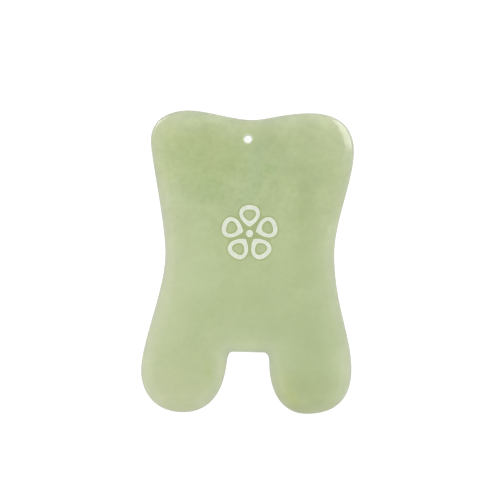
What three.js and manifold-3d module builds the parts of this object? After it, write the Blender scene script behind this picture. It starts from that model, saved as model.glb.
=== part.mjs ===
// A gua sha scraper, in millimetres: one flat jade plate with a polished round edge, two
// shoulders, a waist and two round feet with a finger notch between them. A cord hole goes
// through the top of the plate. A flower is engraved in its upper face, and each of the
// flower's lines is filled with white enamel.
//
// The plate lies flat on z = 0 with its engraved face up (+Z) and its cord hole towards +Y.
// The origin is on its underside, at the middle of its length and width.

import * as THREE from 'three';
import { mergeVertices } from 'three/addons/utils/BufferGeometryUtils.js';
import Module from 'manifold-3d';

const wasm = await Module();
wasm.setup();

// ---- Driving dimensions ------------------------------------------------------------------

const PLATE_THICKNESS = 6;
const EDGE_WIDTH = 3; // the round edge, seen from above
const EDGE_HEIGHT = 2.7; // the round edge's rise, from the mid-plane's flat band to a face

const HALF_LENGTH = 42.5; // the left shoulder's top and the right foot's end
const HALF_WIDTH = 29.8; // the right shoulder's side and the left foot's side

const HOLE_CENTRE = new THREE.Vector2(0.15, 34.45);
const HOLE_RADIUS = 1.1;
const HOLE_CHAMFER = 0.4;

const FLOWER_CENTRE = new THREE.Vector2(0.6, 8);
const PETALS = 5;
const PETAL_BASE = 1.9; // distances from the flower's centre
const PETAL_WIDEST = 5.6;
const PETAL_TIP = 8;
const PETAL_HALF_WIDTH = 2.9;
const PETAL_POINT = 0.35; // how blunt a petal's base is
const LINE_AT_BASE = 1.7; // the width of the engraved line that draws a petal
const LINE_AT_SIDES = 1.1;
const LINE_AT_TIP = 1.3;
const HEART_RADIUS = 1.05; // the round dot in the flower's middle
const ENGRAVING_DEPTH = 0.6;
const ENAMEL_THICKNESS = 0.45;
const ENAMEL_GAP = 0.1; // between the enamel and the engraving's walls

// How finely curves are cut into straight steps.
const SPAN_STEPS = 12;
const EDGE_STEPS = 4;
const PETAL_STEPS = 7;
const ROUND_STEPS = 24;

// ---- The plate's outline -----------------------------------------------------------------

// Directions of travel along the outline, in degrees from +X towards +Y.
const EAST = 0;
const NORTH = 90;
const WEST = 180;
const SOUTH = 270;
const LEANING_NORTH = 82.5; // the notch's left wall isn't quite square

// The outline runs counter-clockwise through these places. At each one it heads in the given
// direction, and before and after say how far its curve is drawn out along that direction.
const OUTLINE = [
  { place: 'top dip', x: 1.5, y: 39.8, heading: WEST, before: 3.5, after: 5.5 },
  { place: 'left shoulder top', x: -16.5, y: HALF_LENGTH, heading: WEST, before: 5, after: 3.5 },
  { place: 'left shoulder side', x: -27.05, y: 34, heading: SOUTH, before: 7.3, after: 5 },
  { place: 'left waist', x: -23, y: 2.5, heading: SOUTH, before: 9, after: 10.2 },
  { place: 'left foot side', x: -HALF_WIDTH, y: -30.5, heading: SOUTH, before: 8.3, after: 5.5 },
  { place: 'left foot end', x: -18, y: -42.05, heading: EAST, before: 8.3, after: 6.2 },
  { place: 'notch left wall', x: -5.95, y: -29, heading: LEANING_NORTH, before: 9, after: 3 },
  { place: 'notch left corner', x: -4.2, y: -25.1, heading: EAST, before: 1, after: 2.5 },
  { place: 'notch right corner', x: 4.4, y: -25.3, heading: EAST, before: 2.5, after: 1.5 },
  { place: 'notch right wall', x: 6.1, y: -28, heading: SOUTH, before: 0.8, after: 9.4 },
  { place: 'right foot end', x: 16.5, y: -HALF_LENGTH, heading: EAST, before: 6.1, after: 5 },
  { place: 'right foot side', x: 29.1, y: -30, heading: NORTH, before: 11, after: 9.5 },
  { place: 'right waist', x: 24.3, y: 2, heading: NORTH, before: 14, after: 9.5 },
  { place: 'right shoulder side', x: HALF_WIDTH, y: 31, heading: NORTH, before: 8, after: 6.2 },
  { place: 'right shoulder top', x: 17.5, y: 41.7, heading: WEST, before: 8.7, after: 7 },
];

function plateOutline() {
  const outline = new THREE.Shape();
  outline.moveTo(OUTLINE[0].x, OUTLINE[0].y);
  OUTLINE.forEach((from, index) => {
    const to = OUTLINE[(index + 1) % OUTLINE.length];
    const leaving = alongHeading(from, from.after);
    const arriving = alongHeading(to, -to.before);
    outline.bezierCurveTo(leaving.x, leaving.y, arriving.x, arriving.y, to.x, to.y);
  });
  return outline;
}

function alongHeading(point, distance) {
  const angle = THREE.MathUtils.degToRad(point.heading);
  return {
    x: point.x + distance * Math.cos(angle),
    y: point.y + distance * Math.sin(angle),
  };
}

// ---- Solids ------------------------------------------------------------------------------

function toSolid(geometry) {
  const bare = geometry.clone();
  bare.deleteAttribute('normal');
  bare.deleteAttribute('uv');
  const merged = mergeVertices(bare);
  const corners = merged.index.array;
  const triangles = [];
  for (let first = 0; first < corners.length; first += 3) {
    const [a, b, c] = corners.slice(first, first + 3);
    const hasArea = a !== b && b !== c && c !== a;
    if (hasArea) triangles.push(a, b, c);
  }
  return new wasm.Manifold(new wasm.Mesh({
    numProp: 3,
    vertProperties: merged.attributes.position.array,
    triVerts: new Uint32Array(triangles),
  }));
}

function toGeometry(solid) {
  const mesh = solid.getMesh();
  const geometry = new THREE.BufferGeometry();
  geometry.setAttribute('position', new THREE.BufferAttribute(mesh.vertProperties, mesh.numProp));
  geometry.setIndex(new THREE.BufferAttribute(mesh.triVerts, 1));
  geometry.computeVertexNormals();
  return geometry;
}

// A flat prism of a shape, standing on the given height.
function prism(shape, bottom, height) {
  const settings = { depth: height, bevelEnabled: false, curveSegments: PETAL_STEPS };
  return new THREE.ExtrudeGeometry(shape, settings).translate(0, 0, bottom);
}

// The plate before it is drilled and engraved. Its edge is half an ellipse, with a narrow
// flat band at mid-thickness, and its widest line is the outline itself.
function blankPlate() {
  const blank = new THREE.ExtrudeGeometry(plateOutline(), {
    depth: PLATE_THICKNESS - 2 * EDGE_HEIGHT,
    bevelThickness: EDGE_HEIGHT,
    bevelSize: EDGE_WIDTH,
    bevelOffset: -EDGE_WIDTH,
    bevelSegments: EDGE_STEPS,
    curveSegments: SPAN_STEPS,
  });
  return blank.translate(0, 0, EDGE_HEIGHT);
}

// The space of the cord hole: a straight drill that widens by a 45 degree chamfer at each
// face and carries on past it.
function holeCutter() {
  const beyond = 1;
  const wide = HOLE_RADIUS + HOLE_CHAMFER + beyond;
  const profile = [
    new THREE.Vector2(0, -beyond),
    new THREE.Vector2(wide, -beyond),
    new THREE.Vector2(HOLE_RADIUS, HOLE_CHAMFER),
    new THREE.Vector2(HOLE_RADIUS, PLATE_THICKNESS - HOLE_CHAMFER),
    new THREE.Vector2(wide, PLATE_THICKNESS + beyond),
    new THREE.Vector2(0, PLATE_THICKNESS + beyond),
  ];
  const cutter = new THREE.LatheGeometry(profile, ROUND_STEPS);
  cutter.rotateX(Math.PI / 2);
  return cutter.translate(HOLE_CENTRE.x, HOLE_CENTRE.y, 0);
}

// ---- The flower --------------------------------------------------------------------------

// A petal that points along +Y from the flower's centre: narrow at its base, round at its tip.
// Point says how far the curve runs level at the base before it opens.
function petalCurve(path, base, tip, halfWidth, point) {
  const widest = PETAL_WIDEST;
  const lowerBulge = 0.5 * (widest - base);
  const upperBulge = 0.6 * (tip - widest);
  const tipSpread = 0.7 * halfWidth;
  path.moveTo(0, base);
  path.bezierCurveTo(point, base, halfWidth, widest - lowerBulge, halfWidth, widest);
  path.bezierCurveTo(halfWidth, widest + upperBulge, tipSpread, tip, 0, tip);
  path.bezierCurveTo(-tipSpread, tip, -halfWidth, widest + upperBulge, -halfWidth, widest);
  path.bezierCurveTo(-halfWidth, widest - lowerBulge, -point, base, 0, base);
  return path;
}

// The line that goes round one petal, made thinner by inset on each side. The stone inside it
// is blunter at the base than the petal itself.
function petalLine(inset) {
  const line = petalCurve(
    new THREE.Shape(),
    PETAL_BASE + inset,
    PETAL_TIP - inset,
    PETAL_HALF_WIDTH - inset,
    PETAL_POINT,
  );
  const middle = petalCurve(
    new THREE.Path(),
    PETAL_BASE + LINE_AT_BASE - inset,
    PETAL_TIP - LINE_AT_TIP + inset,
    PETAL_HALF_WIDTH - LINE_AT_SIDES + inset,
    2 * PETAL_POINT,
  );
  line.holes.push(middle);
  return line;
}

function heartDot(inset) {
  const dot = new THREE.Shape();
  dot.absarc(0, 0, HEART_RADIUS - inset, 0, 2 * Math.PI, false);
  return dot;
}

function turnedPetal(geometry, index) {
  geometry.rotateZ((2 * Math.PI * index) / PETALS);
  return geometry.translate(FLOWER_CENTRE.x, FLOWER_CENTRE.y, 0);
}

const ENGRAVING_FLOOR = PLATE_THICKNESS - ENGRAVING_DEPTH;

function engravingCutters() {
  const height = 2 * ENGRAVING_DEPTH;
  const heart = prism(heartDot(0), ENGRAVING_FLOOR, height);
  const cutters = [heart.translate(FLOWER_CENTRE.x, FLOWER_CENTRE.y, 0)];
  for (let index = 0; index < PETALS; index += 1) {
    cutters.push(turnedPetal(prism(petalLine(0), ENGRAVING_FLOOR, height), index));
  }
  return cutters;
}

// ---- The sub-parts -----------------------------------------------------------------------

const jade = new THREE.MeshStandardMaterial({ color: 0xb5c296, roughness: 0.2, metalness: 0 });
const enamel = new THREE.MeshStandardMaterial({ color: 0xe6e8dc, roughness: 0.5, metalness: 0 });

function named(name, geometry, material) {
  const mesh = new THREE.Mesh(geometry, material);
  mesh.name = name;
  return mesh;
}

function jadePlate() {
  let plate = toSolid(blankPlate());
  for (const cutter of [holeCutter(), ...engravingCutters()]) {
    plate = plate.subtract(toSolid(cutter));
  }
  return named('jade_plate', toGeometry(plate), jade);
}

function petalEnamel(index) {
  const fill = prism(petalLine(ENAMEL_GAP), ENGRAVING_FLOOR, ENAMEL_THICKNESS);
  return named(`enamel_petal_${index + 1}`, turnedPetal(fill, index), enamel);
}

function heartEnamel() {
  const fill = prism(heartDot(ENAMEL_GAP), ENGRAVING_FLOOR, ENAMEL_THICKNESS);
  const mesh = named('enamel_heart', fill, enamel);
  mesh.position.set(FLOWER_CENTRE.x, FLOWER_CENTRE.y, 0);
  return mesh;
}

const group = new THREE.Group();
group.add(jadePlate());
for (let index = 0; index < PETALS; index += 1) {
  group.add(petalEnamel(index));
}
group.add(heartEnamel());

export default group;
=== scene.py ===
import math

import bmesh
import bpy
import numpy as np
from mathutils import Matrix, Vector
from mathutils.geometry import delaunay_2d_cdt


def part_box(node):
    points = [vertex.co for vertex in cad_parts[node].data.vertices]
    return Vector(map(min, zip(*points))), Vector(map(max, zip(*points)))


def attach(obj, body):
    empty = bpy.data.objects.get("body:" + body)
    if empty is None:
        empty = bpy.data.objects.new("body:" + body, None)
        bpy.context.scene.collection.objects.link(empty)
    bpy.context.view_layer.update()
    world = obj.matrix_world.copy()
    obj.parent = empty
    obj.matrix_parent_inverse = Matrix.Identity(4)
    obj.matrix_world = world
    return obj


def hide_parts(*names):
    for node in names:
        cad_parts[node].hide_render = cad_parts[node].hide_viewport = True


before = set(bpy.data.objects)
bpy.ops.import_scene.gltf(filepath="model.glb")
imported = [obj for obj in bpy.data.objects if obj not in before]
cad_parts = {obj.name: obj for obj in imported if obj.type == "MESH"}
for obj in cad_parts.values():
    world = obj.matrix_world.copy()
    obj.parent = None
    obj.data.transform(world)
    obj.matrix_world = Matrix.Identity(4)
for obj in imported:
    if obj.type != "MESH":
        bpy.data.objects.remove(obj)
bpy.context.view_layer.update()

# The looks of a jade gua sha scraper that lies on a white light table, seen from above.
# Shapes are worked out in millimetres, as flat loops of (x, y) points at a height, and turned
# into metres where a vertex or an object is made.

MM = 0.001

PLATE = "jade_plate"
PETALS = [f"enamel_petal_{number}" for number in range(1, 6)]
HEART = "enamel_heart"

# ---- Driving sizes, in mm ----------------------------------------------------------------

OUTLINE_STEP = 0.45  # longest straight step round the outline
EDGE_STEPS = 14  # steps from a face down to the round edge's middle
FACE_SPACING = 1.0  # between the points inside a flat face
EDGE_SHOULDER = 1.6  # 2 makes the round edge elliptical, and less makes its start crisper
GUARD_WIDTH = 0.15  # a narrow level strip where the face meets the round edge

HOLE_CHAMFER = 0.4
HOLE_STEPS = 5  # steps round the hole's softened mouth

ENAMEL_GAP = 0.1  # from the CAD enamel to the walls of its engraving
ENGRAVING_STEP = 0.14  # longest straight step round an engraved line
ENGRAVING_LIP = 0.16  # the worn, rounded lip of an engraved line
LIP_STEPS = 4
ENAMEL_CLEARANCE = 0.02  # between the fine enamel and the stone
ENAMEL_SPACING = 0.22
ENAMEL_SAG = 0.07  # how far the middle of a painted line has sunk
ENAMEL_SHOULDER = 0.3  # how far from its edge the paint has sunk fully

WELD_DISTANCE = 0.001  # CAD corners closer than this are one corner
LEVEL_TOLERANCE = 0.01  # a CAD edge this close to a height is at that height
SAME_POINT = 1e-6  # points closer than this are one point when a face is filled
LEVEL_NORMAL = 0.999  # the least upward part of a level face's normal
CLEAR_OF_LOOPS = 0.6  # how far a face's inner points stay from its loops, in spacings
POINTS_AT_ONCE = 1000  # measured together, which bounds the memory that takes
SMOOTH_ANGLE = 50  # degrees; edges that turn more than this are drawn sharp

# ---- Colours, as linear red, green and blue ----------------------------------------------

JADE = (0.486, 0.568, 0.297)
CLOUD_TINT = (0.94, 0.945, 0.935)
GRAIN_TINT = (0.94, 0.947, 0.93)
# Painted light: the rim is painted paler and bluer, a painted glow of light through the thin
# stone.
PAINTED_RIM_GLOW_TINT = (1.22, 1.12, 1.53)
# Painted light: paler and bluer again at the outermost rim.
PAINTED_OUTER_RIM_LIGHT_TINT = (1.08, 1.05, 1.3)
# Painted shade: darker and more olive beside the engraved lines.
PAINTED_GROOVE_SHADE_TINT = (0.83, 0.84, 0.7)
# Painted light: the cord hole's wall is painted paler, a painted glow.
PAINTED_HOLE_GLOW_TINT = (1.5, 1.4, 2.0)
VEIN_TINT = (0.92, 0.95, 0.9)
ENAMEL = (0.83, 0.89, 0.7)  # along a painted line's edges
SUNK_PAINT_TINT = (0.92, 0.89, 0.99)
THIN_PAINT_TINT = (0.93, 0.94, 0.92)

# How far some tints reach: the distances in mm where their fall starts and ends.
PAINTED_OUTER_RIM_LIGHT_FADE = (0.2, 0.7)
PAINTED_GROOVE_SHADE_FADE = (0.2, 0.75)
PAINTED_HOLE_GLOW_FADE = (0.05, 0.5)
SUNK_PAINT_RISE = (0.1, 0.4)  # where the sunk paint's tint starts, and where it is full
PAINTED_RIM_GLOW_FADE = 0.7  # what is left of the painted glow at the rim for each mm further in

# Where the stone differs most from its usual green: a middle, two half sizes, a turn from +X
# in degrees and a tint. Patches overlap, and their tints are multiplied.
JADE_PATCHES = [
    # The top, the shoulders and down to the flower.
    ((-11, 29), (11, 9), 0, (0.945, 0.957, 0.85)),  # the olive cloud under the left shoulder
    ((-9, 21), (4.5, 3), 30, (0.93, 0.98, 0.92)),
    ((1.5, 25), (3, 9), -20, (0.93, 0.965, 0.97)),  # a greyer band below the hole
    ((6.3, 26.5), (2.6, 1.8), 20, (0.9, 0.96, 0.88)),
    ((13, 26), (8, 7), 0, (0.965, 0.97, 0.96)),
    ((8, 33), (6, 3.5), 10, (0.92, 0.93, 0.89)),
    ((-20, 34), (3, 4), 0, (1.05, 1.045, 1.0)),
    ((-22, 26), (4, 4), 0, (1.035, 1.03, 1.0)),
    ((-24, 33), (3.5, 8), 0, (1.0, 1.005, 0.94)),
    ((23, 26), (3, 6), 0, (0.985, 0.99, 0.965)),
    ((0, 36), (26, 3), 0, (1.0, 1.0, 0.965)),
    ((-12, 40), (6, 2), 10, (1.09, 1.09, 1.08)),
    ((19, 40), (8, 2), -5, (1.08, 1.075, 1.07)),
    ((11, 21), (2.5, 3), 0, (1.04, 1.04, 1.03)),
    ((-24, 38), (9, 7), 30, (1.05, 1.03, 1.06)),
    ((26, 37), (8, 8), 0, (1.05, 1.03, 1.06)),
    ((25, 18), (4, 10), 0, (1.0, 1.0, 0.95)),
    # The waist, beside the flower and below it.
    ((17, 12), (5, 17), 0, (0.95, 0.96, 0.925)),  # olive along the right waist
    ((-16, 16), (6, 1.6), -8, (1.03, 1.04, 1.07)),  # a light wisp across the left waist
    ((-13, 5), (4, 8), 0, (1.03, 1.03, 1.05)),
    ((-13, -6), (6, 8), 0, (1.05, 1.05, 1.1)),
    ((3, -0.5), (3.5, 0.8), -10, (1.03, 1.03, 1.04)),  # two small wisps below the flower
    ((15, -8), (3, 1), -30, (1.03, 1.03, 1.04)),
    ((-25, -6), (10, 34), 0, (1.09, 1.06, 1.11)),  # pale all down the left side
    ((13, 13), (3, 4), 0, (0.97, 0.975, 0.95)),
    ((17, 14), (2.5, 6), 0, (0.96, 0.965, 0.94)),
    ((25, 8), (3, 7), 0, (1.06, 1.06, 1.07)),
    ((17, -5), (5, 4), 0, (0.96, 0.97, 0.95)),
    ((1, -12), (5, 2.5), 10, (0.96, 0.97, 0.96)),
    # The feet and the stone above the notch.
    ((15, -38), (10, 7), 5, (0.91, 0.91, 0.84)),  # brownish at the right foot's end
    ((16, -42), (11, 4), 5, (0.915, 0.92, 0.87)),
    ((-19, -36), (9, 8), 0, (1.045, 1.005, 1.05)),  # pinker at the left foot
    ((-20, -41), (8, 3), 0, (0.94, 0.95, 0.89)),
    ((-29, -31), (3, 6), 0, (1.06, 1.06, 1.06)),
    ((-10, -18), (3, 1), 20, (1.03, 1.03, 1.04)),
    ((4, -22), (32, 24), 0, (0.968, 0.97, 0.966)),
    ((1, -24), (4, 2), 0, (1.04, 1.05, 1.01)),
    ((11.5, -35), (3, 3), 0, (1.05, 1.04, 1.0)),
    ((-7.5, -30), (2, 5), 0, (1.1, 1.08, 1.1)),
    ((-12.2, -31), (1.8, 3.5), 0, (0.97, 0.985, 0.87)),
    ((12.5, -38), (3, 2.5), -40, (1.0, 1.0, 0.88)),
    ((28, -30), (3, 9), 0, (1.07, 1.05, 1.1)),
    ((15, -19), (10, 6), 0, (0.95, 0.96, 0.95)),
    ((18, -29), (6, 7), 0, (0.94, 0.95, 0.93)),
]
VEINED_PATCH = ((-3, 24), (20, 9), -8)
LIVELY_PATCH = ((0, 26), (40, 26), 0)  # where the clouds and the grain show fully
CALM_STRENGTH = 0.5  # what is left of the clouds and the grain elsewhere
PATCH_BORDER = (0.35, 1.35)  # where a patch starts and ends its fall, in its half sizes
THROUGH_PLATE = 1000  # a patch's half size in the plate's depth

# ---- Patterns and finish, with sizes in mm -----------------------------------------------

DRIFT_SIZE, DRIFT_REACH = 9, 5  # how wide the patches' outlines waver, and how far
VEIN_SIZE = 4.5
VEIN_HALF_WIDTH = 0.035  # in the noise's own units
CLOUD_SIZE = 7
GRAIN_SIZE = 1.6
WEAR_SIZE = 5
JADE_ROUGHNESS = (0.11, 0.19)
JADE_IOR = 1.61
LIGHT_INSIDE = 0.6  # the share of light that travels inside the stone before it comes out
LIGHT_TRAVEL = (2.0, 2.0, 1.2)  # how far it travels: red, green and blue
RIPPLE_SIZE, RIPPLE_DEPTH = 2.5, 0.004  # what hand polishing leaves
RIPPLE_STRENGTH = 0.15

THIN_PAINT_SIZE = 1.2
DAB_SIZE, DAB_DEPTH = 0.5, 0.03  # the dabs of a small brush
DAB_STRENGTH = 0.5
ENAMEL_ROUGHNESS = (0.4, 0.6)

# ---- Light -------------------------------------------------------------------------------

# The studio's brightness by the height of the direction looked in: -1 is straight down, 0 the
# horizon and 1 straight up.
STUDIO_LIGHT = [(-1, 0.5), (-0.3, 0.5), (0.0, 0.75), (0.35, 0.85), (0.6, 1.05), (1, 1.05)]
TABLE_GLOW = (0.85, 0.46)  # of the light table under the part, and far off as at the horizon
TABLE_FADE = (105, 260)  # mm from the part's middle to where the glow starts and ends its fall
TABLE_GREY = 0.3
TABLE_ROUGHNESS = 0.1  # of its clear coat, which mirrors the part softly
TABLE_HALF_WIDTH = 3000
TABLE_GAP = 0.2  # between the table and the part's underside

CARD_STEPS = 41  # corners along a card's top
CARD_LEAN = -0.55  # where a card's top is, from -1 at its side nearer +X to 1 at the other
NEAR_BULGE = 2.5  # 1 gives a card a straight slope up to its top, and more a rounder one
FAR_BULGE = 1.15

# ---- Camera, in mm -----------------------------------------------------------------------

LENS = 300
SENSOR = 36
FIELD = 140.1  # the width that the picture covers at the plate's mid-thickness
VIEW_MIDDLE = (0.7, 3.4, 3)

# ---- Loops read from the CAD nodes -------------------------------------------------------

def level_loops(node, height):
    """The closed loops at a height where a CAD node's surface bends, the longest first."""
    mesh = bmesh.new()
    mesh.from_mesh(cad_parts[node].data)
    bmesh.ops.remove_doubles(mesh, verts=mesh.verts, dist=WELD_DISTANCE * MM)
    neighbours = {}
    for edge in mesh.edges:
        gaps = [abs(corner.co.z / MM - height) for corner in edge.verts]
        is_level = max(gaps) < LEVEL_TOLERANCE
        bends = any(abs(face.normal.z) < LEVEL_NORMAL for face in edge.link_faces)
        if is_level and bends:
            first, second = edge.verts
            neighbours.setdefault(first, []).append(second)
            neighbours.setdefault(second, []).append(first)
    loops = []
    while neighbours:
        here = next(iter(neighbours))
        loop = []
        while here is not None:
            loop.append(here.co.xy / MM)
            beside = neighbours.pop(here)
            here = next((corner for corner in beside if corner in neighbours), None)
        loops.append(counter_clockwise(np.array(loop)))
    mesh.free()
    return sorted(loops, key=perimeter, reverse=True)


def perimeter(loop):
    return np.linalg.norm(np.roll(loop, -1, axis=0) - loop, axis=1).sum()


def counter_clockwise(loop):
    ahead = np.roll(loop, -1, axis=0)
    twice_area = np.sum(loop[:, 0] * ahead[:, 1] - ahead[:, 0] * loop[:, 1])
    return loop if twice_area > 0 else loop[::-1]


def smooth_loop(corners, longest):
    """A closed cubic spline through the corners, in straight steps of at most longest."""
    ahead = np.roll(corners, -1, axis=0)
    spans = np.linalg.norm(ahead - corners, axis=1)
    slopes = spline_slopes(corners, spans)
    points = []
    for index, span in enumerate(spans):
        following = (index + 1) % len(corners)
        steps = max(2, math.ceil(span / longest))
        for step in range(steps):
            t = step / steps
            rise = t * t * (3 - 2 * t)
            points.append(
                (1 - rise) * corners[index]
                + rise * corners[following]
                + span * t * (1 - t) ** 2 * slopes[index]
                - span * t * t * (1 - t) * slopes[following]
            )
    return np.array(points)


def spline_slopes(corners, spans):
    """The slope at each corner that makes the closed spline's curvature continuous."""
    count = len(corners)
    matrix = np.zeros((count, count))
    target = np.zeros((count, 2))
    for index in range(count):
        before, after = spans[index - 1], spans[index]
        following = (index + 1) % count
        matrix[index, index - 1] += after
        matrix[index, index] += 2 * (before + after)
        matrix[index, following] += before
        arriving = (corners[index] - corners[index - 1]) / before
        leaving = (corners[following] - corners[index]) / after
        target[index] = 3 * (after * arriving + before * leaving)
    return np.linalg.solve(matrix, target)


def grown(loop, distance):
    """The loop moved outwards by a distance, or inwards by a negative one."""
    along = np.roll(loop, -1, axis=0) - np.roll(loop, 1, axis=0)
    along /= np.linalg.norm(along, axis=1)[:, None]
    outwards = np.column_stack([along[:, 1], -along[:, 0]])
    return loop + distance * outwards


def inside(points, loops):
    """Which points lie inside an odd number of the loops."""
    result = np.zeros(len(points), bool)
    x, y = points[:, 0], points[:, 1]
    for loop in loops:
        for (x1, y1), (x2, y2) in zip(loop, np.roll(loop, -1, axis=0)):
            if y1 != y2:
                crosses = ((y1 > y) != (y2 > y)) & (x < (x2 - x1) * (y - y1) / (y2 - y1) + x1)
                result ^= crosses
    return result


def distance_to(points, loops):
    """The distance from each point to the nearest point of the loops."""
    targets = np.concatenate(loops)
    nearest = np.empty(len(points))
    for start in range(0, len(points), POINTS_AT_ONCE):
        some = slice(start, start + POINTS_AT_ONCE)
        gaps = np.linalg.norm(points[some, None, :] - targets[None, :, :], axis=2)
        nearest[some] = gaps.min(axis=1)
    return nearest


# ---- Surfaces built from loops -----------------------------------------------------------

class Skin:
    """A closed surface, built up from rings of vertices."""

    def __init__(self):
        self.mesh = bmesh.new()

    def ring(self, loop, height):
        return [self.mesh.verts.new((x * MM, y * MM, height * MM)) for x, y in loop]

    def band(self, ring, other):
        """Joins two rings of equally many vertices."""
        for index in range(len(ring)):
            following = (index + 1) % len(ring)
            corners = (ring[index], ring[following], other[following], other[index])
            self.mesh.faces.new(corners)

    def sweep(self, loop, profile):
        """Rings down a profile of (how far the loop is grown, height), joined by bands."""
        rings = [self.ring(grown(loop, growth), height) for growth, height in profile]
        for ring, following in zip(rings, rings[1:]):
            self.band(ring, following)
        return rings[0], rings[-1]

    def fill(self, rings, spacing=None):
        """Fills the level area inside the rings. A ring inside another one is a hole, and a
        ring inside a hole is filled again. Returns the vertices added between the rings."""
        corners = [corner for ring in rings for corner in ring]
        loops = [np.array([corner.co.xy / MM for corner in ring]) for ring in rings]
        height = corners[0].co.z / MM
        flat = [Vector(point) for point in np.concatenate(loops)]
        added = []
        if spacing is not None:
            added = self.ring(grid_inside(loops, spacing), height)
            corners += added
            flat += [corner.co.xy / MM for corner in added]
        borders = []
        first = 0
        for ring in rings:
            borders += [(first + at, first + (at + 1) % len(ring)) for at in range(len(ring))]
            first += len(ring)
        whole_hull = 0  # triangles everywhere, of which those outside the rings are left out
        filled = delaunay_2d_cdt(flat, borders, [], whole_hull, SAME_POINT)
        places, _, triangles, origins, _, _ = filled
        places = np.array(places)
        middles = places[np.array(triangles)].mean(axis=1)
        for triangle, is_inside in zip(triangles, inside(middles, loops)):
            if is_inside:
                self.mesh.faces.new([corners[origins[place][0]] for place in triangle])
        return added

    def to_object(self, name):
        bmesh.ops.recalc_face_normals(self.mesh, faces=self.mesh.faces)
        data = bpy.data.meshes.new(name)
        self.mesh.to_mesh(data)
        self.mesh.free()
        data.shade_smooth()
        data.set_sharp_from_angle(angle=math.radians(SMOOTH_ANGLE))
        piece = bpy.data.objects.new(name, data)
        bpy.context.scene.collection.objects.link(piece)
        return piece


def grid_inside(loops, spacing):
    """Staggered rows of points inside the loops, clear of the loops themselves."""
    low = loops[0].min(axis=0)
    high = loops[0].max(axis=0)
    row_height = spacing * math.sqrt(3) / 2
    rows = []
    for row, y in enumerate(np.arange(low[1], high[1], row_height)):
        shift = spacing / 2 * (row % 2)
        xs = np.arange(low[0] + shift, high[0], spacing)
        rows.append(np.column_stack([xs, np.full(len(xs), y)]))
    points = np.concatenate(rows)
    points = points[inside(points, loops)]
    return points[distance_to(points, loops) > CLEAR_OF_LOOPS * spacing]


# ---- The stone ---------------------------------------------------------------------------

def plate_levels():
    """The plate's thickness, and how far its edge's flat band reaches from mid-thickness."""
    low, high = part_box(PLATE)
    thickness = (high.z - low.z) / MM
    heights = np.array([corner.co.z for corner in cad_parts[PLATE].data.vertices]) / MM
    above = heights[heights > thickness / 2]
    return thickness, above.min() - thickness / 2


def round_edge(thickness, half_band, width):
    """The profile of the round edge, from the upper face to the lower one. It turns down a
    little sooner than an ellipse, as a ground edge does."""
    upper = []
    for angle in np.linspace(0, math.pi / 2, EDGE_STEPS + 1):
        outwards = math.sin(angle) ** (2 / EDGE_SHOULDER)
        rise = (thickness / 2 - half_band) * math.cos(angle)
        upper.append((-width * (1 - outwards), thickness / 2 + half_band + rise))
    upper.insert(0, (-width - GUARD_WIDTH, thickness))
    lower = [(growth, thickness - height) for growth, height in reversed(upper)]
    return upper + lower


def hole_wall(thickness):
    """The profile of the cord hole, from the upper face to the lower one, as growths of the
    hole's mouth. A soft lip narrows it to the drilled wall."""
    upper = [(GUARD_WIDTH, thickness)]
    for angle in np.linspace(0, math.pi / 2, HOLE_STEPS + 1):
        growth = -HOLE_CHAMFER * math.sin(angle)
        drop = HOLE_CHAMFER * (1 - math.cos(angle))
        upper.append((growth, thickness - drop))
    lower = [(growth, thickness - height) for growth, height in reversed(upper)]
    return upper + lower


def engraving_wall(thickness, floor, side):
    """The profile of an engraving's wall, from the face to its floor. Side is 1 where the
    stone is outside the loop and -1 where it is inside."""
    wall = [(side * (ENAMEL_GAP + ENGRAVING_LIP + GUARD_WIDTH / 2), thickness)]
    for angle in np.linspace(0, math.pi / 2, LIP_STEPS + 1):
        growth = ENAMEL_GAP + ENGRAVING_LIP * (1 - math.sin(angle))
        drop = ENGRAVING_LIP * (1 - math.cos(angle))
        wall.append((side * growth, thickness - drop))
    wall.append((side * ENAMEL_GAP, floor))
    return wall


def enamel_loops(node):
    """An enamel node's outer loop and, round a petal, its inner one, with its heights."""
    low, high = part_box(node)
    corners = level_loops(node, high.z / MM)
    loops = [smooth_loop(loop, ENGRAVING_STEP) for loop in corners]
    return loops, low.z / MM, high.z / MM


def make_stone():
    thickness, half_band = plate_levels()
    outline = level_loops(PLATE, thickness / 2 + half_band)[0]
    face_loops = level_loops(PLATE, thickness)
    width = outline[:, 0].max() - face_loops[0][:, 0].max()
    mouth = max(face_loops[1:], key=lambda loop: loop[:, 1].mean())

    skin = Skin()
    outline = smooth_loop(outline, OUTLINE_STEP)
    edge_top, edge_bottom = skin.sweep(outline, round_edge(thickness, half_band, width))
    mouth = smooth_loop(mouth, ENGRAVING_STEP)
    hole_top, hole_bottom = skin.sweep(mouth, hole_wall(thickness))
    upper_rings = [edge_top, hole_top]
    lines = []
    for node in [*PETALS, HEART]:
        loops, floor, _ = enamel_loops(node)
        lines += loops
        floor_rings = []
        for loop, side in zip(loops, (1, -1)):
            lip, foot = skin.sweep(loop, engraving_wall(thickness, floor, side))
            upper_rings.append(lip)
            floor_rings.append(foot)
        skin.fill(floor_rings)
    skin.fill(upper_rings, FACE_SPACING)
    skin.fill([edge_bottom, hole_bottom], FACE_SPACING)

    stone = skin.to_object("plate_stone")
    store_distance(stone, "edge_distance", [outline])
    store_distance(stone, "line_distance", lines, height=thickness)
    store_distance(stone, "hole_distance", [grown(mouth, -HOLE_CHAMFER)])
    return stone


def store_distance(piece, name, loops, height=None):
    """Keeps each vertex's distance from some loops for a material to use. It is the distance
    seen from above or, where the loops' height is given, the distance in space."""
    places = np.array([corner.co for corner in piece.data.vertices]) / MM
    distance = distance_to(places[:, :2], loops)
    if height is not None:
        distance = np.hypot(distance, places[:, 2] - height)
    attribute = piece.data.attributes.new(name, "FLOAT", "POINT")
    attribute.data.foreach_set("value", distance.astype(np.float32))


# ---- The enamel --------------------------------------------------------------------------

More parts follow.
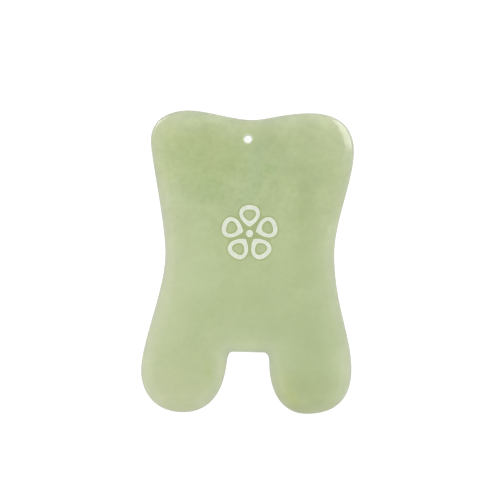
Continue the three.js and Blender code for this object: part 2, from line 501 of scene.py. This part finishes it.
def make_enamel(node, name):
    """The paint in one engraved line: it all but touches the stone, and sags in between."""
    loops, floor, top = enamel_loops(node)
    reach = ENAMEL_GAP - ENAMEL_CLEARANCE
    edges = [grown(loop, side * reach) for loop, side in zip(loops, (1, -1))]
    skin = Skin()
    top_rings = [skin.ring(edge, top) for edge in edges]
    bottom_rings = [skin.ring(edge, floor + ENAMEL_CLEARANCE) for edge in edges]
    for ring, below in zip(top_rings, bottom_rings):
        skin.band(ring, below)
    skin.fill(bottom_rings)
    surface = skin.fill(top_rings, ENAMEL_SPACING)
    places = np.array([corner.co.xy for corner in surface]) / MM
    for corner, distance in zip(surface, distance_to(places, edges)):
        share = min(1.0, distance / ENAMEL_SHOULDER)
        corner.co.z -= ENAMEL_SAG * MM * math.sin(share * math.pi / 2)
    paint = skin.to_object(name)
    store_distance(paint, "edge_distance", edges)
    return paint


# ---- Materials ---------------------------------------------------------------------------

class Recipe:
    """A material in the making, and its node tree. Its patterns are laid out in mm."""

    def __init__(self, name):
        self.material = bpy.data.materials.new(name)
        self.material.use_nodes = True
        self.nodes = self.material.node_tree.nodes
        self.links = self.material.node_tree.links
        self.shader = self.nodes["Principled BSDF"]

    def node(self, kind, inputs=None, **settings):
        """A new node. An input is given a value, or another node's output."""
        made = self.nodes.new(kind)
        for setting, value in settings.items():
            setattr(made, setting, value)
        for socket, value in (inputs or {}).items():
            if isinstance(value, bpy.types.NodeSocket):
                self.links.new(value, made.inputs[socket])
            else:
                made.inputs[socket].default_value = value
        return made

    def position(self):
        place = self.node("ShaderNodeTexCoord").outputs["Object"]
        inputs = {0: place, "Scale": 1 / MM}
        return self.node("ShaderNodeVectorMath", inputs, operation="SCALE").outputs[0]

    def distance(self, name):
        """A distance in mm that the mesh keeps for each vertex."""
        return self.node("ShaderNodeAttribute", attribute_name=name).outputs["Fac"]

    def levelness(self):
        """How level the surface lies: 1 on a flat face and 0 where it stands upright."""
        normal = self.node("ShaderNodeNewGeometry").outputs["Normal"]
        upwards = self.node("ShaderNodeSeparateXYZ", {0: normal}).outputs["Z"]
        return self.math("ABSOLUTE", upwards, 0)

    def noise(self, position, size, detail=3.0, output="Fac"):
        """Clouds about this many mm across."""
        inputs = {"Vector": position, "Scale": 1 / size, "Detail": detail}
        return self.node("ShaderNodeTexNoise", inputs).outputs[output]

    def warped(self, position, size, reach):
        """The position, pushed about by up to roughly this many mm."""
        push = self.noise(position, size, output="Color")
        inputs = {0: push, 1: (0.5, 0.5, 0.5)}
        centred = self.node("ShaderNodeVectorMath", inputs, operation="SUBTRACT").outputs[0]
        inputs = {0: centred, 1: (2 * reach, 2 * reach, 2 * reach), 2: position}
        return self.node("ShaderNodeVectorMath", inputs, operation="MULTIPLY_ADD").outputs[0]

    def remap(self, value, old, new):
        """The value, carried smoothly from one range of numbers to another."""
        inputs = {"Value": value, "From Min": old[0], "From Max": old[1]}
        inputs.update({"To Min": new[0], "To Max": new[1]})
        made = self.node("ShaderNodeMapRange", inputs, interpolation_type="SMOOTHSTEP")
        return made.outputs["Result"]

    def patch(self, position, centre, half_size, turn):
        """An oval patch with a soft border, in mm and degrees, the same all through the plate."""
        inputs = {
            "Vector": position,
            "Location": (*centre, 0),
            "Rotation": (0, 0, math.radians(turn)),
            "Scale": (*half_size, THROUGH_PLATE),
        }
        local = self.node("ShaderNodeMapping", inputs, vector_type="TEXTURE").outputs[0]
        return self.remap(self.length(local), PATCH_BORDER, (1, 0))

    def length(self, vector):
        made = self.node("ShaderNodeVectorMath", {0: vector}, operation="LENGTH")
        return made.outputs["Value"]

    def math(self, operation, first, second):
        made = self.node("ShaderNodeMath", {0: first, 1: second}, operation=operation)
        return made.outputs[0]

    def multiplied(self, colour, tint, share):
        """The colour, multiplied by a tint where share is 1 and left alone where it is 0."""
        inputs = {"Fac": share, "Color1": colour, "Color2": (*tint, 1)}
        return self.node("ShaderNodeMixRGB", inputs, blend_type="MULTIPLY").outputs["Color"]

    def add_bump(self, height, strength, depth):
        """Makes the surface rise with the height, by up to about this many mm."""
        inputs = {"Height": height, "Strength": strength, "Distance": depth * MM}
        bump = self.node("ShaderNodeBump", inputs).outputs["Normal"]
        self.links.new(bump, self.shader.inputs["Normal"])


def jade_material():
    """Pale green jade: soft clouds and wisps in the stone, with painted light on top: a painted
    glow that makes it paler where it thins at its edge, a paler, bluer painted light at its
    outermost rim, painted shade along the engraved lines and a painted glow in the cord hole.
    """
    jade = Recipe("polished_jade")
    place = jade.position()
    drifting = jade.warped(place, DRIFT_SIZE, DRIFT_REACH)
    colour = (*JADE, 1)
    for centre, half_size, turn, tint in JADE_PATCHES:
        colour = jade.multiplied(colour, tint, jade.patch(drifting, centre, half_size, turn))

    # A vein runs where the noise passes through its middle value.
    veins = jade.math("SUBTRACT", jade.noise(drifting, VEIN_SIZE, detail=5), 0.5)
    veins = jade.remap(jade.math("ABSOLUTE", veins, 0), (0, VEIN_HALF_WIDTH), (1, 0))
    veined = jade.math("MULTIPLY", veins, jade.patch(drifting, *VEINED_PATCH))
    colour = jade.multiplied(colour, VEIN_TINT, veined)
    lively = jade.patch(place, *LIVELY_PATCH)
    strength = jade.remap(lively, (0, 1), (CALM_STRENGTH, 1))
    clouds = jade.remap(jade.noise(place, CLOUD_SIZE, detail=4), (0.35, 0.65), (0, 1))
    colour = jade.multiplied(colour, CLOUD_TINT, jade.math("MULTIPLY", clouds, strength))
    grain = jade.remap(jade.noise(place, GRAIN_SIZE, detail=5), (0.35, 0.7), (0, 1))
    colour = jade.multiplied(colour, GRAIN_TINT, jade.math("MULTIPLY", grain, strength))

    # Painted light: the rim is painted paler where it is thin when looked down through, as a
    # painted glow of light coming through the stone. From the side it is as deep as the plate, so
    # it gets none.
    from_edge = jade.distance("edge_distance")
    painted_glow_share = jade.remap(jade.levelness(), (0.0, 0.75), (0, 1))
    painted_rim_glow = jade.math("MULTIPLY", jade.math("POWER", PAINTED_RIM_GLOW_FADE, from_edge), painted_glow_share)
    colour = jade.multiplied(colour, PAINTED_RIM_GLOW_TINT, painted_rim_glow)
    # Painted light: the outermost rim is painted paler and bluer still, standing in for the light
    # at its very edge.
    painted_outer_rim_light = jade.math("MULTIPLY", jade.remap(from_edge, PAINTED_OUTER_RIM_LIGHT_FADE, (1, 0)), painted_glow_share)
    colour = jade.multiplied(colour, PAINTED_OUTER_RIM_LIGHT_TINT, painted_outer_rim_light)
    # Painted shade: the stone is painted darker where it meets the engraved lines, the shade of
    # the grooves' walls.
    painted_groove_shade = jade.remap(jade.distance("line_distance"), PAINTED_GROOVE_SHADE_FADE, (1, 0))
    colour = jade.multiplied(colour, PAINTED_GROOVE_SHADE_TINT, painted_groove_shade)
    # Painted light: the cord hole's mouth and wall are painted paler, a painted glow of light
    # through the stone where they would lie in shade.
    hole_wall = jade.remap(jade.distance("hole_distance"), PAINTED_HOLE_GLOW_FADE, (1, 0))
    colour = jade.multiplied(colour, PAINTED_HOLE_GLOW_TINT, hole_wall)

    shader = jade.shader
    jade.links.new(colour, shader.inputs["Base Color"])
    wear = jade.noise(place, WEAR_SIZE, detail=6)
    jade.links.new(jade.remap(wear, (0.35, 0.65), JADE_ROUGHNESS), shader.inputs["Roughness"])
    shader.inputs["IOR"].default_value = JADE_IOR
    shader.inputs["Subsurface Weight"].default_value = LIGHT_INSIDE
    shader.inputs["Subsurface Radius"].default_value = LIGHT_TRAVEL
    shader.inputs["Subsurface Scale"].default_value = MM
    ripple = jade.noise(place, RIPPLE_SIZE, detail=2)
    jade.add_bump(ripple, RIPPLE_STRENGTH, RIPPLE_DEPTH)
    return jade.material


def enamel_material():
    """White paint that is a little thinner and greyer in places."""
    enamel = Recipe("white_enamel")
    place = enamel.position()
    sunk = enamel.remap(enamel.distance("edge_distance"), SUNK_PAINT_RISE, (0, 1))
    colour = enamel.multiplied((*ENAMEL, 1), SUNK_PAINT_TINT, sunk)
    thin = enamel.remap(enamel.noise(place, THIN_PAINT_SIZE, detail=4), (0.35, 0.65), (0, 1))
    colour = enamel.multiplied(colour, THIN_PAINT_TINT, thin)
    shader = enamel.shader
    enamel.links.new(colour, shader.inputs["Base Color"])
    dabs = enamel.noise(place, DAB_SIZE, detail=4)
    roughness = enamel.remap(dabs, (0.3, 0.7), ENAMEL_ROUGHNESS)
    enamel.links.new(roughness, shader.inputs["Roughness"])
    enamel.add_bump(dabs, DAB_STRENGTH, DAB_DEPTH)
    return enamel.material


def card_material(name, brightness):
    """A plain glow, with its brightness given for the card's lower and its upper side."""
    card = Recipe(name)
    place = card.node("ShaderNodeTexCoord").outputs["Generated"]
    height = card.node("ShaderNodeSeparateXYZ", {0: place}).outputs["Z"]
    strength = card.remap(height, (0.0, 1.0), brightness)
    glow = card.node("ShaderNodeEmission", {"Strength": strength})
    output = card.nodes["Material Output"]
    card.links.new(glow.outputs["Emission"], output.inputs["Surface"])
    card.nodes.remove(card.shader)
    card.material.cycles.emission_sampling = "NONE"
    return card.material


def floor_material():
    """A light table that glows white round the part and is as pale as the studio further off."""
    floor = Recipe("light_table")
    shader = floor.shader
    shader.inputs["Base Color"].default_value = (*[TABLE_GREY] * 3, 1)
    shader.inputs["Specular IOR Level"].default_value = 0
    shader.inputs["Coat Weight"].default_value = 1
    shader.inputs["Coat Roughness"].default_value = TABLE_ROUGHNESS
    shader.inputs["Emission Color"].default_value = (1, 1, 1, 1)
    glow = floor.remap(floor.length(floor.position()), TABLE_FADE, TABLE_GLOW)
    floor.links.new(glow, shader.inputs["Emission Strength"])
    return floor.material


# ---- The stage, the light and the camera -------------------------------------------------

def make_floor():
    skin = bmesh.new()
    half_width = TABLE_HALF_WIDTH * MM
    bmesh.ops.create_grid(skin, x_segments=1, y_segments=1, size=half_width)
    data = bpy.data.meshes.new("floor")
    skin.to_mesh(data)
    skin.free()
    floor = bpy.data.objects.new("floor", data)
    floor.location.z = -TABLE_GAP * MM
    floor.data.materials.append(floor_material())
    floor.visible_glossy = False
    bpy.context.scene.collection.objects.link(floor)


def make_world():
    """A plain studio that is brightest overhead and dimmer towards the ground."""
    world = bpy.data.worlds.new("studio")
    world.use_nodes = True
    nodes, links = world.node_tree.nodes, world.node_tree.links
    direction = nodes.new("ShaderNodeTexCoord")
    split = nodes.new("ShaderNodeSeparateXYZ")
    share = nodes.new("ShaderNodeMapRange")
    share.inputs["From Min"].default_value = -1
    ramp = nodes.new("ShaderNodeValToRGB")
    stops = ramp.color_ramp.elements
    stops[0].position, stops[0].color = 0.0, (*[STUDIO_LIGHT[0][1]] * 3, 1)
    stops[1].position, stops[1].color = 1.0, (*[STUDIO_LIGHT[-1][1]] * 3, 1)
    for height, brightness in STUDIO_LIGHT[1:-1]:
        stop = stops.new((height + 1) / 2)
        stop.color = (*[brightness] * 3, 1)
    links.new(direction.outputs["Generated"], split.inputs[0])
    links.new(split.outputs["Z"], share.inputs["Value"])
    links.new(share.outputs["Result"], ramp.inputs["Fac"])
    links.new(ramp.outputs["Color"], nodes["Background"].inputs["Color"])
    bpy.context.scene.world = world


def make_card(name, distance, azimuth, half_spread, lowest, highest, brightness):
    """An upright white card, straight at the bottom and a leaning hump at the top, that only
    glossy reflections see. Its distance is in mm from the part's middle. Angles are in degrees
    as seen from there, with azimuth counted from +X towards +Y, and brightness is given for
    the card's lower and its upper side."""
    away = distance * MM
    half_width = away * math.tan(math.radians(half_spread))
    bottom = away * math.tan(math.radians(lowest))
    height = away * math.tan(math.radians(highest)) - bottom
    corners = []
    for share in np.linspace(-1, 1, CARD_STEPS):
        if share < CARD_LEAN:
            rise = 1 - ((CARD_LEAN - share) / (CARD_LEAN + 1)) ** NEAR_BULGE
        else:
            rise = 1 - ((share - CARD_LEAN) / (1 - CARD_LEAN)) ** FAR_BULGE
        corners.append((0, share * half_width, bottom + rise * height))
    data = bpy.data.meshes.new(name)
    data.from_pydata(corners, [], [range(len(corners))])
    data.materials.append(card_material(name, brightness))
    card = bpy.data.objects.new(name, data)
    turn = math.radians(azimuth)
    card.location = (away * math.cos(turn), away * math.sin(turn), 0)
    card.rotation_euler.z = turn
    card.visible_camera = False
    card.visible_diffuse = False
    card.visible_shadow = False
    bpy.context.scene.collection.objects.link(card)


def make_camera():
    camera = bpy.data.cameras.new("camera")
    camera.lens = LENS
    camera.sensor_width = SENSOR
    holder = bpy.data.objects.new("camera", camera)
    distance = FIELD / 2 / math.tan(camera.angle / 2)
    x, y, z = VIEW_MIDDLE
    holder.location = (x * MM, y * MM, (z + distance) * MM)
    bpy.context.scene.collection.objects.link(holder)
    bpy.context.scene.camera = holder


# ---- The whole scene ---------------------------------------------------------------------

def add_piece(piece, node, material):
    piece.data.materials.append(material)
    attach(piece, "root")
    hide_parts(node)


add_piece(make_stone(), PLATE, jade_material())
enamel = enamel_material()
for number, petal in enumerate(PETALS, start=1):
    add_piece(make_enamel(petal, f"petal_paint_{number}"), petal, enamel)
add_piece(make_enamel(HEART, "heart_paint"), HEART, enamel)

make_floor()
make_world()
make_card(
    "corner_card",
    distance=180,
    azimuth=40,
    half_spread=28,
    lowest=-11,
    highest=57,
    brightness=(4.6, 4.1),
)
make_card(
    "left_card",
    distance=500,
    azimuth=140,
    half_spread=24,
    lowest=-17,
    highest=2,
    brightness=(5, 5),
)
make_camera()
bpy.context.scene.view_settings.view_transform = "Standard"
